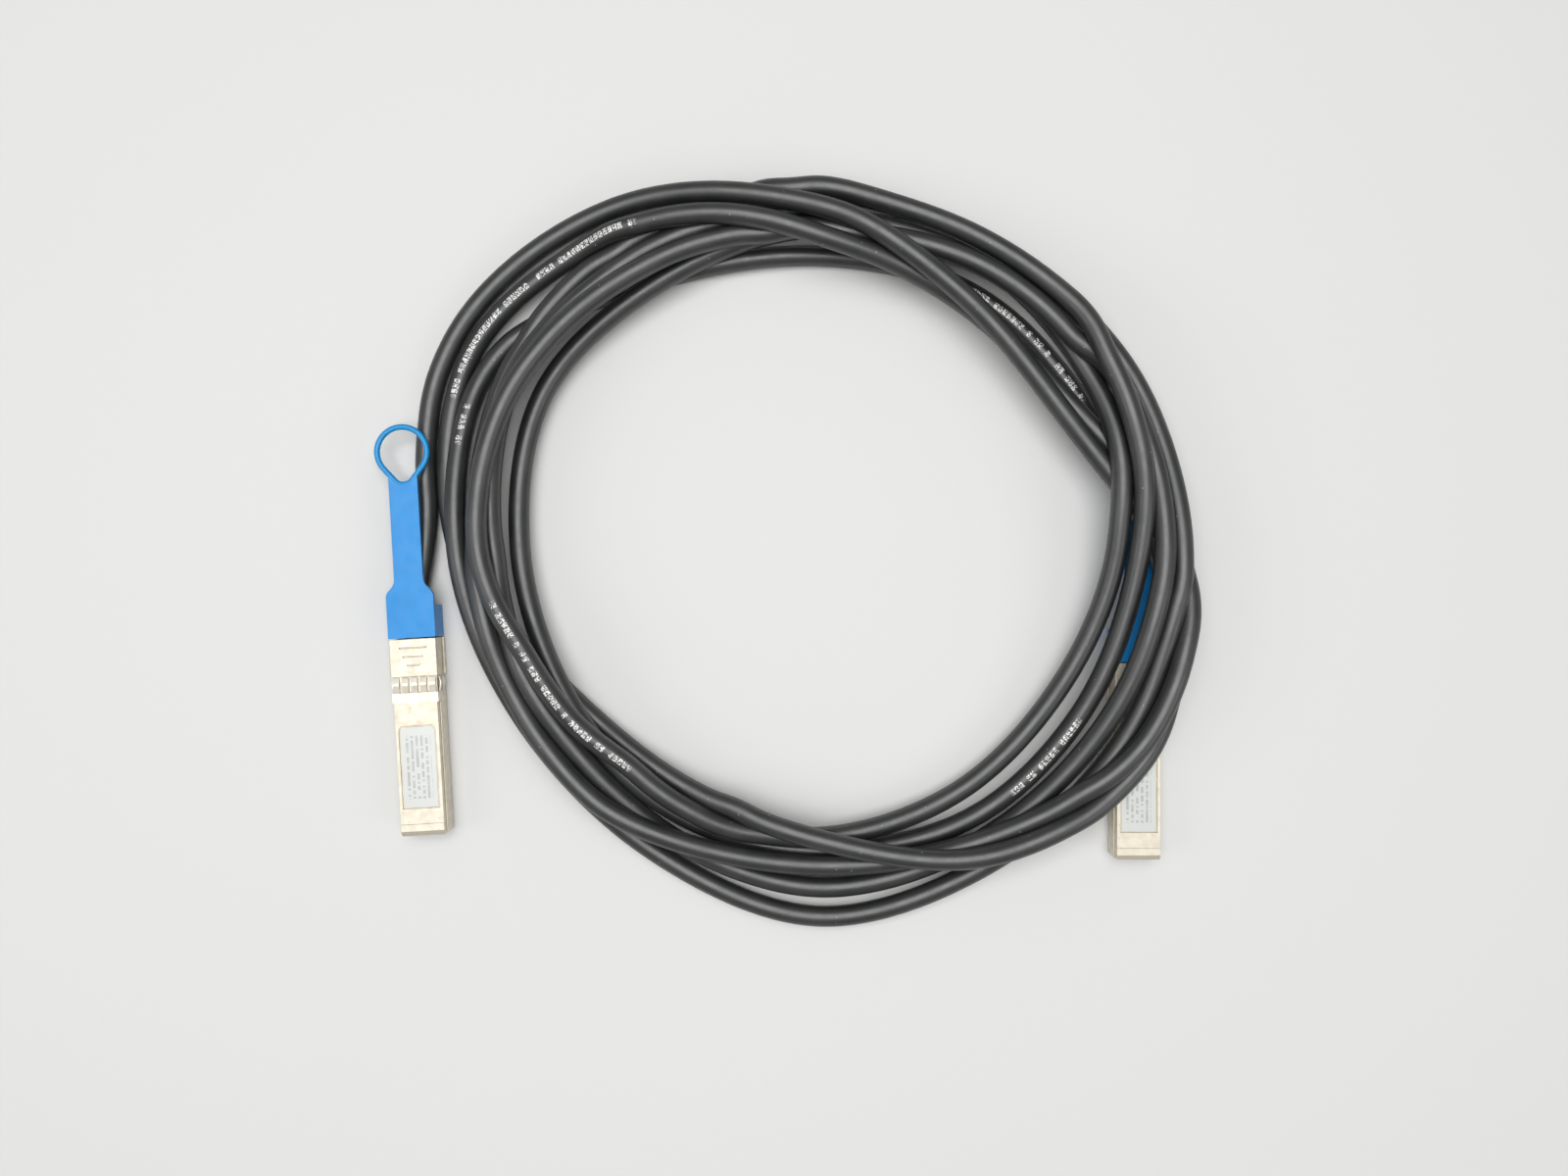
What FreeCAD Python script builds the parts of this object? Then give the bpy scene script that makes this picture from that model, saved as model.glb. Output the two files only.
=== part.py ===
"""Direct attach copper cable: two plug-in connectors joined by one long round twinax cable.

Each connector has a two-part die-cast housing, a sprung shielding collar, a contact card,
and a blue pull tab on a sliding latch release.  The cable lies in a loose hand-wound coil
that rests partly on the right-hand connector.

Everything is in millimetres, +Z up, and the part lies on z = 0.  The origin is on the
ground, at the middle of the box round the two connectors.  A connector is built in its own
frame: +Y runs back along its axis towards the cable, and y = 0 is the shoulder that stops
against the cage.
"""
import FreeCAD, Part
import math
import os

from FreeCAD import Placement, Rotation, Vector

# ---------------------------------------------------------------- driving dimensions
# Nose, the part that enters the cage
nose_length = 47.5
nose_width = 13.7
nose_height = 8.5
nose_lift = 0.55             # the nose's underside above the ground
ledge_drop = 2.3             # from the top down to the side ledges
ledge_width = 0.4            # how far the ledges stand out beyond the cover
lip_length = 3.5             # solid frame at the mouth, ahead of the cover
lip_chamfer = 1.4
cavity_wall = 1.2            # side walls of the hollow, below the ledges
cavity_floor = 0.9           # web between the hollow and the latch channel
roof = 1.0                   # thickness of the top

# Back shell, the part that stays outside the cage
shell_length = 11.1
shell_width = 14.1
skirt_drop = 3.7             # depth of the cover's skirts on the back shell
waist_inset = 0.55           # how far the shell's sides step in below the skirts
flange_height = 1.2
flange_overhang = 0.2
shell_rear_wall = 1.7
seam = 0.04                  # hairline between the two halves of the housing

# Label recess in the cover
label_length = 23.8
label_width = 10.2
label_thickness = 0.12
label_recess_depth = 0.3
label_margin = 0.45          # recess edge round the label
label_from_front = 8.6       # label's front edge from the mouth
label_corner = 1.6

# Grip grooves across the back shell's top
groove_lengths = (8.2, 6.0, 3.8)
groove_pitch = 2.6
groove_width = 0.45
groove_depth = 0.22
groove_from_rear = 2.6

# Sprung shielding collar round the nose, in front of the shoulder
collar_length = 7.9
collar_band = 3.0            # solid band in front of the fingers
collar_sheet = 0.2
collar_gap = 0.05            # between the sheet and the housing under it
finger_width = 1.9
finger_pitch = 2.7
top_fingers = 5
side_fingers = 2
side_finger_pitch = 3.2
finger_bulge = 0.5
collar_split_gap = 0.3       # between the collar's lower edges and the latch channel
finger_tip_gap = 0.3         # from the finger tips to the shoulder

# Latch channel, slider and return spring in the housing's underside
channel_width = 9.4
channel_front = 16.5         # how far the channel runs in front of the shoulder
channel_roof = 0.65          # channel depth above the nose's underside
slider_sheet = 0.45
slider_clearance = 0.08
slider_side_gap = 0.3
prong_width = 2.2
prong_reach = 14.6           # prong tips in front of the shoulder
prong_slot_back = 7.4        # back end of the slot between the prongs
ramp_height = 0.35
ramp_length = 2.2
release_travel = 2.5
boss_width = 2.6
boss_length = 2.6
boss_front = 13.4            # latch boss's front edge ahead of the shoulder
boss_height = 0.9
retainer_reach = 0.8         # lips under the slider in the back shell
retainer_thickness = 0.4
yoke_slot_width = 6.6        # gap for the cable between the slider's rear legs
yoke_start = 8.6
ear_thickness = 0.5
ear_height = 4.6
ear_front = 1.4              # ears start this far behind the back shell
ear_length = 7.0
spring_wire = 0.22
spring_diameter = 1.2
spring_turns = 7
spring_pocket_height = 1.3
spring_pocket_wall = 0.25
spring_front = -6.1
spring_length = 5.0
lug_width = 1.2
lug_sheet = 0.5
pocket_clearance = 0.15

# Pull tab
tab_gap = 0.35               # between the tab and the back shell at rest
tab_width = 14.1
tab_base_length = 12.2
tab_flare_length = 5.8
tab_thickness = 1.2
cheek_thickness = 1.75
cheek_length = 9.4
cheek_lift = 0.6             # cheeks' lower edge above the ground
strap_width = 8.6
ring_reach = 64.1            # ring's far edge behind the back shell
ring_outer_radius = 8.2
ring_inner_end_radius = 4.2  # outer radius of the ring's narrow end
ring_length = 18.7
ring_section = 1.55

# Contact card and what is on it
card_thickness = 1.0
card_side_gap = 0.15         # between the card's edges and the walls
card_tongue_width = 9.2
card_tongue_length = 5.5
card_setback = 1.6           # card's front edge behind the mouth
card_back_ahead = 14.9       # card's back edge ahead of the shoulder
card_underside = 4.1
pad_count = 10
pad_pitch = 0.8
pad_width = 0.55
pad_length = 3.2
pad_thickness = 0.05
chip_size = (3.9, 5.0, 1.4)
chip_from_front = 11.5
card_seat_width = 1.1        # shelves in the housing that carry the card

# Cable and what holds it in the back shell
cable_diameter = 6.2
cable_axis_height = 4.5      # where it leaves the back shell
cable_inside = 6.0           # how far the jacket reaches into the back shell
cable_fit = 0.05             # between the cable or ferrule and the housing
ferrule_length = 5.0
ferrule_wall = 0.5
pair_width = 3.0
pair_thickness = 1.3
pair_overlap = 2.6           # how far the pairs reach over the card
pair_in_ferrule = 1.5

# Cover screw, up through the floor and the card into a boss under the cover
screw_thread_diameter = 1.4
screw_head_diameter = 2.6
screw_head_height = 0.6
screw_recess = 0.05          # head below the nose's underside
screw_from_shoulder = -22.0
screw_post_diameter = 3.2
screw_length = 6.6
screw_fit = 0.02
screw_drive_diameter = 1.0

# Where the connectors lie: shoulder point and turn about +Z
right_at = (109.75, -17.68)
right_turn = 0.0
left_at = (-105.95, -10.48)
left_turn = 3.3

# Coil: its centre, and its edges at twelve even angles starting on +X
coil_centre = (15.0, 26.4)
coil_outer = (110.0, 110.5, 110.0, 109.0, 122.5, 131.0, 112.5, 106.0, 105.0, 112.5, 109.5, 119.0)
coil_inner = (84.0, 80.5, 82.0, 85.5, 90.5, 91.0, 86.5, 83.0, 77.5, 80.5, 79.0, 79.0)
coil_height_left = 18.5
coil_height_right = 25.5
coil_edge_round = 4.0
coil_clearance = 0.4         # round the connector and the tab's travel under the coil
lead_room = 4.3              # beside the right-hand tab, where the cable leaves it sideways
left_notch_x = -99.9         # notch in the coil's side beside the left lead
left_notch_y = 66.0          # where the left lead meets the coil

# Leads, as points that the cable's centre follows from inside the back shell to the coil
left_lead = (
    (-106.24, -5.39, 4.50),
    (-106.90, 5.99, 4.50),
    (-105.67, 17.68, 3.90),
    (-104.04, 29.29, 3.30),
    (-103.50, 40.82, 3.10),
    (-104.36, 52.32, 3.15),
    (-103.63, 63.92, 3.10),
    (-101.99, 75.52, 3.20),
)
right_lead = (
    (109.75, -12.58, 4.50),
    (109.75, -1.18, 4.50),
    (110.05, 10.22, 3.90),
    (110.55, 21.72, 3.30),
    (110.35, 33.22, 3.10),
    (107.55, 44.72, 3.15),
    (102.95, 55.72, 3.10),
    (97.85, 65.72, 3.20),
)
arc_share = 0.45             # an arc takes this share of the shorter run beside it

# ---------------------------------------------------------------- worked-out dimensions
top = nose_lift + nose_height
ledge_level = top - ledge_drop
skirt_level = top - skirt_drop
cover_width = nose_width - 2 * ledge_width
core_width = nose_width - 2 * (collar_sheet + collar_gap)
core_top = top - collar_sheet - collar_gap
core_bottom = nose_lift + collar_sheet + collar_gap
cover_front = -nose_length + lip_length
channel_top = nose_lift + channel_roof
floor_level = channel_top + cavity_floor
ceiling = top - roof
cavity_width = cover_width - 2 * cavity_wall
cavity_rear = shell_length - shell_rear_wall
plate_top = channel_top - slider_clearance
plate_bottom = plate_top - slider_sheet
plate_width = channel_width - 2 * slider_side_gap
tab_front = shell_length + tab_gap
tab_underside = top - tab_thickness
ring_end_centre = shell_length + ring_reach - ring_outer_radius
ring_narrow_centre = shell_length + ring_reach - ring_length + ring_inner_end_radius
ring_axis_height = top - ring_section / 2
cheek_inside = tab_width / 2 - cheek_thickness
ear_centre = tab_width / 2 - cheek_thickness / 2
card_front = -nose_length + card_setback
card_length = -card_back_ahead - card_front
card_width = cavity_width - 2 * card_side_gap
card_top = card_underside + card_thickness
ferrule_back = shell_length - cable_inside
ferrule_front = ferrule_back - ferrule_length
pocket_front = spring_front - lug_sheet - pocket_clearance
pocket_top = channel_top + spring_pocket_height
spring_back = spring_front + spring_length
spring_axis_height = channel_top + spring_pocket_height / 2
screw_head_bottom = nose_lift + screw_recess


# ---------------------------------------------------------------- small helpers
def box(x0, x1, y0, y1, z0, z1):
    """A block between two corners."""
    return Part.makeBox(x1 - x0, y1 - y0, z1 - z0, Vector(x0, y0, z0))


def centred(width, y0, y1, z0, z1):
    """A block that straddles the connector's axis."""
    return box(-width / 2, width / 2, y0, y1, z0, z1)


def rod(diameter, y0, y1, z, x=0.0):
    """A round bar along the connector's axis."""
    return Part.makeCylinder(diameter / 2, y1 - y0, Vector(x, y0, z), Vector(0, 1, 0))


def prism(points, direction):
    """A flat outline, given by its corners, pushed along a direction."""
    closed = [Vector(*p) for p in points] + [Vector(*points[0])]
    return Part.Face(Part.makePolygon(closed)).extrude(Vector(*direction))


def fused(solids):
    """Several touching solids made one, with the seams between flush faces removed."""
    first, rest = solids[0], solids[1:]
    return (first.fuse(rest) if rest else first).removeSplitter()


def rounded(shape, radius, chooser):
    """Round those edges of a shape that the chooser picks."""
    edges = [e for e in shape.Edges if chooser(e)]
    return shape.makeFillet(radius, edges) if edges else shape


def runs_along(axis):
    """A chooser for straight edges along one axis."""
    def test(edge):
        if edge.Curve.TypeId != "Part::GeomLine":
            return False
        return abs(abs(edge.Curve.Direction.dot(axis)) - 1) < 1e-6
    return test


def export(name, shapes):
    """Write one node's STEP file."""
    shape = shapes[0] if len(shapes) == 1 else Part.makeCompound(shapes)
    shape.exportStep(os.path.join("parts", name + ".step"))
    print("%-24s solids %2d  volume %9.2f" % (name, len(shape.Solids), shape.Volume))


# ---------------------------------------------------------------- housing
def label_recess_shape(z0, z1, margin):
    """The label's outline, round at its back corners, as a slab between two heights."""
    y0 = -nose_length + label_from_front - margin
    y1 = y0 + label_length + 2 * margin
    slab = centred(label_width + 2 * margin, y0, y1, z0, z1)
    back = lambda e: runs_along(Vector(0, 0, 1))(e) and e.CenterOfMass.y > (y0 + y1) / 2
    return rounded(slab, label_corner, back)


def cable_way():
    """The room that the cable's end and its ferrule take in the back shell."""
    return rod(cable_diameter + 2 * cable_fit, ferrule_front - cable_fit, shell_length + 1,
               cable_axis_height)


def housing_base():
    """Lower half of the housing: mouth frame, floor, side walls, latch channel and back shell."""
    nose = centred(nose_width, -nose_length, 0, nose_lift, ledge_level)
    nose = rounded(nose, 0.4, lambda e: runs_along(Vector(0, 1, 0))(e) and e.CenterOfMass.z < 1)
    lip = centred(cover_width, -nose_length, cover_front, ledge_level, top)
    shell_low = rounded(centred(shell_width + 2 * flange_overhang, 0, shell_length, 0, flange_height),
                        0.3, runs_along(Vector(0, 1, 0)))
    shell_high = centred(shell_width - 2 * waist_inset, 0, shell_length, flange_height, skirt_level)
    body = fused([nose, lip, shell_low, shell_high])

    # Bevels at the mouth, on the top and on both sides
    bevel = prism([(-nose_width, -nose_length, top - 0.75),
                   (-nose_width, -nose_length + lip_chamfer, top),
                   (-nose_width, -nose_length, top)], (2 * nose_width, 0, 0))
    cutters = [bevel]
    for side in (-1, 1):
        cutters.append(prism([(side * (nose_width / 2 - 0.5), -nose_length, 0),
                              (side * nose_width / 2, -nose_length + 1.0, 0),
                              (side * nose_width / 2, -nose_length, 0)], (0, 0, top)))

    # Waist that the shielding collar sits round, stopping at the shoulder
    waist_box = centred(nose_width + 4, -collar_length, 0, 0, top)
    core = centred(core_width, -collar_length, 0, core_bottom, top)
    cutters.append(waist_box.cut(core))

    # Hollow, open at the mouth and closed at the back
    cutters.append(centred(cavity_width, -nose_length - 1, cavity_rear, floor_level, ceiling))

    # Bore for the cable, and the trough ahead of it for the ferrule
    cutters.append(cable_way())

    # Latch channel, with lips under the slider left standing in the back shell
    cutters.append(centred(channel_width, -channel_front, shell_length + 1, -1, channel_top))
    body = body.cut(cutters)

    lips = []
    for side in (-1, 1):
        inner = side * (channel_width / 2 - retainer_reach)
        outer = side * (channel_width / 2 + 0.5)
        lips.append(box(min(inner, outer), max(inner, outer), 1.0, shell_length - 1.0,
                        0, retainer_thickness))

    # Latch boss in the channel, wedge-shaped towards the mouth
    boss = prism([(-boss_width / 2, -boss_front + boss_length, channel_top + 0.1),
                  (boss_width / 2, -boss_front + boss_length, channel_top + 0.1),
                  (boss_width / 4, -boss_front, channel_top + 0.1),
                  (-boss_width / 4, -boss_front, channel_top + 0.1)], (0, 0, -boss_height - 0.1))

    # Shelves that carry the card, and the post that takes the cover screw
    shelves = []
    for side in (-1, 1):
        wall = side * (cavity_width / 2 + 0.3)
        inner = side * (card_width / 2 - card_seat_width)
        shelves.append(box(min(wall, inner), max(wall, inner), card_front + card_tongue_length + 1,
                           card_front + card_length, floor_level - 0.2, card_underside))
    post = Part.makeCylinder(screw_post_diameter / 2, card_underside - floor_level + 0.2,
                             Vector(0, screw_from_shoulder, floor_level - 0.2))
    body = fused([body] + lips + [boss] + shelves + [post])

    # Spring pocket over the channel, closed in at its back end
    wall = spring_pocket_wall
    cover = centred(spring_diameter + 2 * pocket_clearance + 2 * wall, pocket_front - wall,
                    spring_back + wall, floor_level - 0.1, pocket_top + wall)
    pocket = centred(spring_diameter + 2 * pocket_clearance, pocket_front, spring_back,
                     channel_top - 0.1, pocket_top)
    screw_way = Part.makeCylinder(screw_thread_diameter / 2 + screw_fit, top,
                                  Vector(0, screw_from_shoulder, 0))
    head_way = Part.makeCylinder(screw_head_diameter / 2 + 0.15,
                                 screw_head_bottom + screw_head_height,
                                 Vector(0, screw_from_shoulder, 0))
    return body.fuse(cover).cut([pocket, screw_way, head_way]).removeSplitter()


def housing_cover():
    """Upper half of the housing: cover plate over the nose, and the back shell's top and skirts."""
    plate = centred(cover_width, cover_front + seam, -collar_length, ledge_level, top)
    waist = centred(core_width, -collar_length, 0, ledge_level, core_top)
    shell = centred(shell_width, 0, shell_length, skirt_level, top)
    shell = rounded(shell, 0.35, lambda e: runs_along(Vector(0, 1, 0))(e) and e.CenterOfMass.z > top - 1)
    body = fused([plate, waist, shell])
    hollow = [centred(cavity_width, cover_front - 1, cavity_rear, skirt_level - 1, ceiling),
              cable_way()]
    recess = label_recess_shape(top - label_recess_depth, top + 1, label_margin)
    grooves = []
    for number, length in enumerate(groove_lengths):
        y = shell_length - groove_from_rear - number * groove_pitch
        grooves.append(centred(length, y - groove_width / 2, y + groove_width / 2,
                               top - groove_depth, top + 1))
    boss = Part.makeCylinder(screw_post_diameter / 2, ceiling - card_top + 0.1,
                             Vector(0, screw_from_shoulder, card_top))
    thread = Part.makeCylinder(screw_thread_diameter / 2 + screw_fit,
                               screw_head_bottom + screw_length + screw_fit - card_top + 1,
                               Vector(0, screw_from_shoulder, card_top - 1))
    return fused([body.cut(hollow + [recess] + grooves), boss]).cut(thread)


def label():
    """Blank sticker lying in the cover's recess."""
    floor = top - label_recess_depth
    return label_recess_shape(floor, floor + label_thickness, 0.0)


# ---------------------------------------------------------------- shielding collar
def finger(base, outward, across, centre, width):
    """One sprung finger: it rises from the band, bows out and dips back to its tip.

    base is a point on the outside of the sheet at the finger's root, outward the way it
    bows, across the way its width runs, and centre its place along that way.
    """
    reach = collar_length - collar_band - finger_tip_gap
    profile = ((0.0, 0.0), (0.5 * reach, finger_bulge), (0.66 * reach, finger_bulge), (reach, -0.02))
    outer = [base + Vector(0, y, 0) + outward * h for y, h in profile]
    inner = [p - outward * collar_sheet for p in outer]
    shift = across * (centre - width / 2)
    corners = [p + shift for p in outer + inner[::-1]]
    return prism([tuple(p) for p in corners], tuple(across * width))


def shielding_collar():
    """Stamped collar round the nose, split over the latch channel, with its sprung fingers."""
    outside = centred(nose_width, -collar_length, -collar_length + collar_band, nose_lift, top)
    inside = centred(nose_width - 2 * collar_sheet, -collar_length - 1, 0,
                     nose_lift + collar_sheet, top - collar_sheet)
    split = centred(channel_width + 2 * collar_split_gap, -collar_length - 1, 0, 0,
                    nose_lift + 2 * collar_sheet)
    pieces = [outside.cut([inside, split])]
    root = -collar_length + collar_band - 0.05
    for number in range(top_fingers):
        x = (number - (top_fingers - 1) / 2) * finger_pitch
        pieces.append(finger(Vector(0, root, top), Vector(0, 0, 1), Vector(1, 0, 0), x, finger_width))
    foot = (nose_width - channel_width) / 2 - collar_split_gap
    for side in (-1, 1):
        x = side * (nose_width / 2 - collar_sheet - foot / 2 + collar_split_gap / 2)
        pieces.append(finger(Vector(0, root, nose_lift), Vector(0, 0, -1), Vector(1, 0, 0), x,
                             foot - 2 * collar_split_gap))
        for number in range(side_fingers):
            z = nose_lift + nose_height / 2 + (number - (side_fingers - 1) / 2) * side_finger_pitch
            pieces.append(finger(Vector(side * nose_width / 2, root, 0), Vector(side, 0, 0),
                                 Vector(0, 0, 1), z, finger_width))
    return fused(pieces)


# ---------------------------------------------------------------- latch release
def latch_slider():
    """Stamped release plate: two ramped prongs in front, a spring lug, and a rear yoke with ears."""
    ear_back = shell_length + ear_front + ear_length
    half = plate_width / 2
    plate = centred(plate_width, -prong_reach, shell_length + ear_front, plate_bottom, plate_top)
    slot = centred(plate_width - 2 * prong_width, -prong_reach - 1, -prong_slot_back,
                   plate_bottom - 1, plate_top + 1)
    yoke = centred(2 * ear_centre + ear_thickness, shell_length + ear_front - 0.1, ear_back,
                   plate_bottom, plate_top)
    cable_way = centred(yoke_slot_width, yoke_start, ear_back + 1, plate_bottom - 1, plate_top + 1)
    pieces = [fused([plate, yoke]).cut([slot, cable_way])]
    for side in (-1, 1):
        inner = side * (ear_centre - ear_thickness / 2)
        outer = side * (ear_centre + ear_thickness / 2)
        pieces.append(box(min(inner, outer), max(inner, outer), shell_length + ear_front, ear_back,
                          plate_bottom, plate_bottom + ear_height))
        root = side * (half - prong_width)
        tip = side * half
        pieces.append(prism([(min(root, tip), -prong_reach, plate_bottom - ramp_height),
                             (min(root, tip), -prong_reach + ramp_length, plate_bottom + 0.05),
                             (min(root, tip), -prong_reach, plate_bottom + 0.05)],
                            (prong_width, 0, 0)))
    pieces.append(centred(lug_width, spring_front - lug_sheet, spring_front, plate_bottom,
                          pocket_top - pocket_clearance))
    return fused(pieces)


def return_spring():
    """Compression spring between the slider's lug and the back wall of its pocket."""
    turn_height = (spring_length - spring_wire) / spring_turns
    coil_radius = (spring_diameter - spring_wire) / 2
    path = Part.makeHelix(turn_height, turn_height * spring_turns, coil_radius)
    start = Vector(coil_radius, 0, 0)
    section = Part.Wire(Part.makeCircle(spring_wire / 2, start, Vector(0, 1, 0)))
    solid = Part.Wire(path).makePipeShell([section], True, True)
    solid.rotate(Vector(), Vector(1, 0, 0), -90)
    solid.translate(Vector(0, spring_front + spring_wire / 2, spring_axis_height))
    return solid


def ring_outline(offset):
    """The ring's centre line, a big and a small arc joined by tangents, at a height."""
    big = ring_outer_radius - ring_section / 2
    small = ring_inner_end_radius - ring_section / 2
    spacing = ring_end_centre - ring_narrow_centre
    lean = math.asin((big - small) / spacing)
    touch = {}
    for name, radius, centre in (("big", big, ring_end_centre), ("small", small, ring_narrow_centre)):
        x = radius * math.cos(lean)
        y = centre - radius * math.sin(lean)
        touch[name] = (Vector(x, y, offset), Vector(-x, y, offset))
    far = Vector(0, ring_end_centre + big, offset)
    near = Vector(0, ring_narrow_centre - small, offset)
    return Part.Wire([
        Part.Arc(touch["big"][0], far, touch["big"][1]).toShape(),
        Part.LineSegment(touch["big"][1], touch["small"][1]).toShape(),
        Part.Arc(touch["small"][1], near, touch["small"][0]).toShape(),
        Part.LineSegment(touch["small"][0], touch["big"][0]).toShape(),
    ])


def pull_tab():
    """Moulded pull tab: base with two cheeks, flared strap, and an egg-shaped finger ring."""
    half = tab_width / 2
    strap = strap_width / 2
    base_back = tab_front + tab_base_length
    strap_front = base_back + tab_flare_length
    strap_back = ring_narrow_centre
    outline = [Part.LineSegment(Vector(-half, tab_front, 0), Vector(half, tab_front, 0)),
               Part.LineSegment(Vector(half, tab_front, 0), Vector(half, base_back, 0))]
    shoulder = Part.BezierCurve()
    shoulder.setPoles([Vector(half, base_back, 0), Vector(half, base_back + 2.4, 0),
                       Vector(strap, strap_front - 3.4, 0), Vector(strap, strap_front, 0)])
    mirrored = Part.BezierCurve()
    mirrored.setPoles([Vector(-p.x, p.y, 0) for p in shoulder.getPoles()][::-1])
    outline += [shoulder, Part.LineSegment(Vector(strap, strap_front, 0), Vector(strap, strap_back, 0)),
                Part.LineSegment(Vector(strap, strap_back, 0), Vector(-strap, strap_back, 0)),
                Part.LineSegment(Vector(-strap, strap_back, 0), Vector(-strap, strap_front, 0)),
                mirrored, Part.LineSegment(Vector(-half, base_back, 0), Vector(-half, tab_front, 0))]
    face = Part.Face(Part.Wire([c.toShape() for c in outline]))
    face.translate(Vector(0, 0, tab_underside))
    slab = face.extrude(Vector(0, 0, tab_thickness))
    pieces = [slab]
    for side in (-1, 1):
        inner = side * cheek_inside
        outer = side * half
        cheek = box(min(inner, outer), max(inner, outer), tab_front, tab_front + cheek_length,
                    cheek_lift, tab_underside + 0.1)
        pieces.append(cheek)
    body = fused(pieces)
    ears = [box(side * ear_centre - ear_thickness / 2, side * ear_centre + ear_thickness / 2,
                shell_length + ear_front, shell_length + ear_front + ear_length,
                plate_bottom, plate_bottom + ear_height) for side in (-1, 1)]
    legs = centred(2 * ear_centre + ear_thickness, shell_length, shell_length + ear_front + ear_length,
                   plate_bottom, plate_top)
    body = body.cut(ears + [legs])

    # The ring is fused on as swept round stock; the strap's end runs up to the ring's near side
    outline_wire = ring_outline(ring_axis_height)
    first = outline_wire.Edges[0]
    section = Part.Wire(Part.makeCircle(ring_section / 2, first.valueAt(first.FirstParameter),
                                        first.tangentAt(first.FirstParameter)))
    ring = outline_wire.makePipeShell([section], True, True)
    inside = Part.Face(ring_outline(ring_axis_height)).extrude(Vector(0, 0, 4))
    inside.translate(Vector(0, 0, -2))
    body = body.cut(inside)
    return fused([body, ring])


# ---------------------------------------------------------------- contact card and cable end
def contact_card():
    """Contact card: a narrow tongue in the mouth, then the full width."""
    back = card_front + card_length
    tongue = centred(card_tongue_width, card_front, card_front + card_tongue_length + 0.1,
                     card_underside, card_top)
    tongue = rounded(tongue, 0.4, lambda e: runs_along(Vector(1, 0, 0))(e)
                     and e.CenterOfMass.y < card_front + 0.1)
    body = centred(card_width, card_front + card_tongue_length, back, card_underside, card_top)
    hole = Part.makeCylinder(screw_thread_diameter / 2 + 0.2, top, Vector(0, screw_from_shoulder, 0))
    return fused([tongue, body]).cut(hole)


def contact_pads():
    """Gold contact pads in two rows, one on each side of the card's tongue."""
    pads = []
    for level in (card_top, card_underside - pad_thickness):
        for number in range(pad_count):
            x = (number - (pad_count - 1) / 2) * pad_pitch
            pads.append(box(x - pad_width / 2, x + pad_width / 2, card_front + 0.7,
                            card_front + 0.7 + pad_length, level, level + pad_thickness))
    return pads


def memory_chip():
    """Identity memory chip on top of the card."""
    width, length, height = chip_size
    y = card_front + chip_from_front
    body = centred(width, y, y + length, card_top + 0.1, card_top + height)
    body = rounded(body, 0.15, lambda e: e.CenterOfMass.z > card_top + height - 0.01)
    pins = []
    for side in (-1, 1):
        for number in range(4):
            py = y + length / 2 + (number - 1.5) * 1.27
            x0 = side * (width / 2 - 0.2)
            x1 = side * (width / 2 + 0.9)
            pins.append(box(min(x0, x1), max(x0, x1), py - 0.2, py + 0.2, card_top, card_top + 0.25))
    return fused([body] + pins)


def wire_pairs():
    """Two flat twin-core pairs from the ferrule, one over and one under the back of the card."""
    front = card_front + card_length - pair_overlap
    back = ferrule_front + pair_in_ferrule
    half = pair_thickness / 2
    pairs = []
    for level in (card_top, card_underside - pair_thickness):
        flat = centred(pair_width, front, back, level, level + pair_thickness)
        pairs.append(rounded(flat, 0.98 * half, runs_along(Vector(0, 1, 0))))
    return pairs


def crimp_ferrule():
    """Steel sleeve crimped over the cable's braid, in front of the jacket's end."""
    outer = rod(cable_diameter, ferrule_front, ferrule_back, cable_axis_height)
    bore = rod(cable_diameter - 2 * ferrule_wall, ferrule_front - 1, ferrule_back + 1,
               cable_axis_height)
    return outer.cut(bore)


def cover_screw():
    """Small screw whose head lies in the floor and whose thread ends in the cover's boss."""
    foot = Vector(0, screw_from_shoulder, screw_head_bottom)
    head = Part.makeCylinder(screw_head_diameter / 2, screw_head_height, foot)
    shank = Part.makeCylinder(screw_thread_diameter / 2, screw_length, foot)
    drive = Part.makeCylinder(screw_drive_diameter / 2, screw_head_height * 0.7, foot)
    return head.fuse(shank).cut(drive).removeSplitter()


# ---------------------------------------------------------------- cable
def tube_path(points):
    """Straight runs joined by tangent arcs through a list of points."""
    edges = []
    last = points[0]
    for before, corner, after in zip(points, points[1:], points[2:]):
        incoming = (corner - before)
        outgoing = (after - corner)
        turn = incoming.getAngle(outgoing)
        cut = arc_share * min(incoming.Length, outgoing.Length)
        radius = cut / math.tan(turn / 2)
        start = corner - Vector(incoming).normalize() * cut
        end = corner + Vector(outgoing).normalize() * cut
        inward = (Vector(outgoing).normalize() - Vector(incoming).normalize()).normalize()
        middle = corner + inward * (radius / math.cos(turn / 2) - radius)
        print("   arc radius %.0f mm" % radius)
        edges.append(Part.LineSegment(last, start).toShape())
        edges.append(Part.Arc(start, middle, end).toShape())
        last = end
    edges.append(Part.LineSegment(last, points[-1]).toShape())
    return Part.Wire(edges)


def tube(points):
    """A round cable swept along its path, with its volume compared with section times length."""
    path = tube_path([Vector(*p) for p in points])
    start = Vector(*points[0])
    section = Part.Wire(Part.makeCircle(cable_diameter / 2, start, Vector(*points[1]) - start))
    solid = path.makePipeShell([section], True, True)
    expected = math.pi * cable_diameter ** 2 / 4 * path.Length
    print("   tube length %.1f mm, volume %.1f of %.1f" % (path.Length, solid.Volume, expected))
    return solid


def lead(points, coil):
    """A lead as far as the coil's face: what lies inside or beyond the coil is the coil's."""
    pieces = tube(points).cut(coil).Solids
    start = Vector(*points[0])
    return min(pieces, key=lambda piece: piece.distToShape(Part.Vertex(start))[0])


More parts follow.
